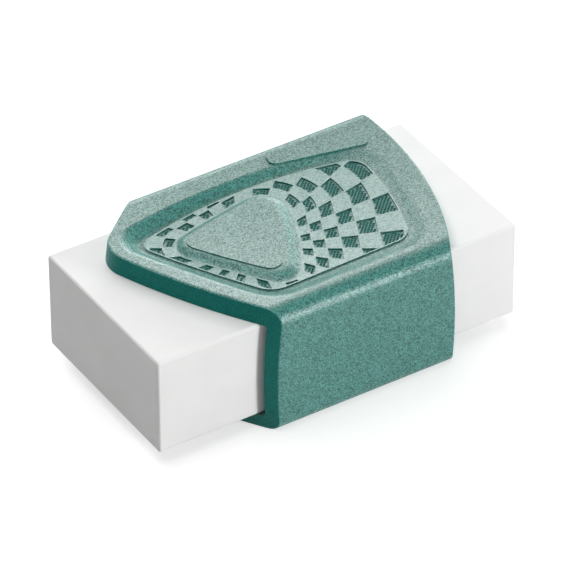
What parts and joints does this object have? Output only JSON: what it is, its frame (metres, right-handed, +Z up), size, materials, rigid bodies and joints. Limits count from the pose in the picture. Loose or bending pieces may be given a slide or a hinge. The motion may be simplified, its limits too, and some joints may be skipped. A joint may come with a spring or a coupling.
{
  "type": "eraser",
  "caption": "White block eraser in a slide-on green plastic sleeve with a nosed lip, a dished top, a raised thumb pad and a checked grip panel.",
  "frame": {"origin": "on the sleeve's flat underside, below the middle of the block", "axes": "+X along the block away from the sleeve's nose, +Y across it, +Z up out of the thumb pad"},
  "size_m": [0.0486, 0.0288, 0.0172],
  "materials": {
    "eraser_rubber": "matte white vinyl rubber, smooth and faintly powdery",
    "sleeve_plastic": "teal green moulded plastic with a fine speckled matte grain"
  },
  "bodies": {
    "sleeve": {"sleeve": "sleeve_plastic"},
    "eraser": {"eraser_block": "eraser_rubber"}
  },
  "joints": [
    {"name": "block_slide", "type": "slide", "parent": "sleeve", "child": "eraser", "axis": [1, 0, 0], "range_m": [-0.0345, 0.0395]}
  ]
}
